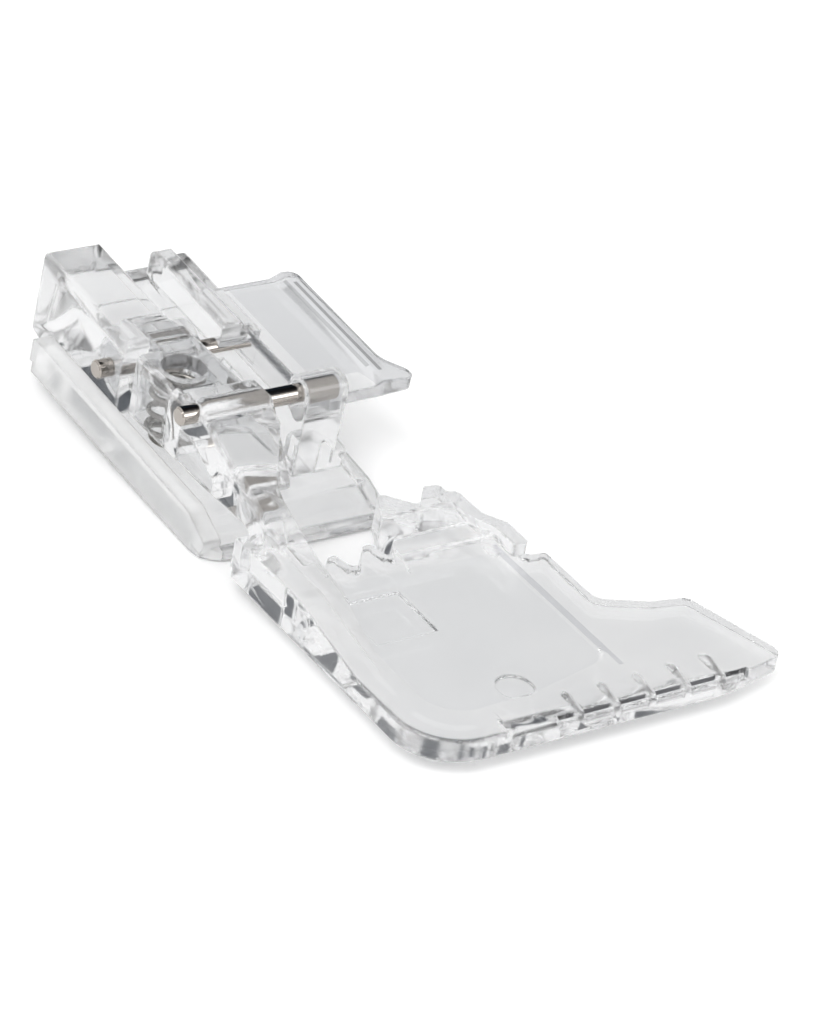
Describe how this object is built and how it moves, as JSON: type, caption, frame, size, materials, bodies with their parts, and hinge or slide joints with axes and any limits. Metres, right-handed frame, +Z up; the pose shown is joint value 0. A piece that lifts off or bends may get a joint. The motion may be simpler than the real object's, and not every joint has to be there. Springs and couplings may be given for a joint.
{
  "type": "sewing machine presser foot",
  "caption": "clear moulded presser foot with a rocking sprung heel, needle notches and a bare steel pin that the machine's foot holder snaps on",
  "frame": {"origin": "on the axis of the clip pin, in the middle of its bare stretch where the foot holder snaps on", "axes": "X to the right along the pins, -Y to the front where the fabric enters, +Z up; rest pose has the heel's nose down on its stop"},
  "size_m": [0.0284, 0.0517, 0.0089],
  "materials": {
    "clear_plastic": "water clear, polished moulding",
    "pin_steel": "polished steel",
    "spring_steel": "drawn spring wire"
  },
  "bodies": {
    "front": {"toe_sole": "clear_plastic", "clip_pin": "pin_steel", "compensating_spring": "spring_steel"},
    "heel": {"heel_sole": "clear_plastic", "hinge_pin": "pin_steel"}
  },
  "joints": [
    {"name": "heel_rock", "type": "hinge", "parent": "front", "child": "heel", "pos_m": [0, 0.01, -0.0023], "axis": [-1, 0, 0], "range_deg": [0, 7], "stiffness_Nm_per_rad": 0.038, "springref_deg": -11.46, "deforming": ["compensating_spring"]}
  ]
}
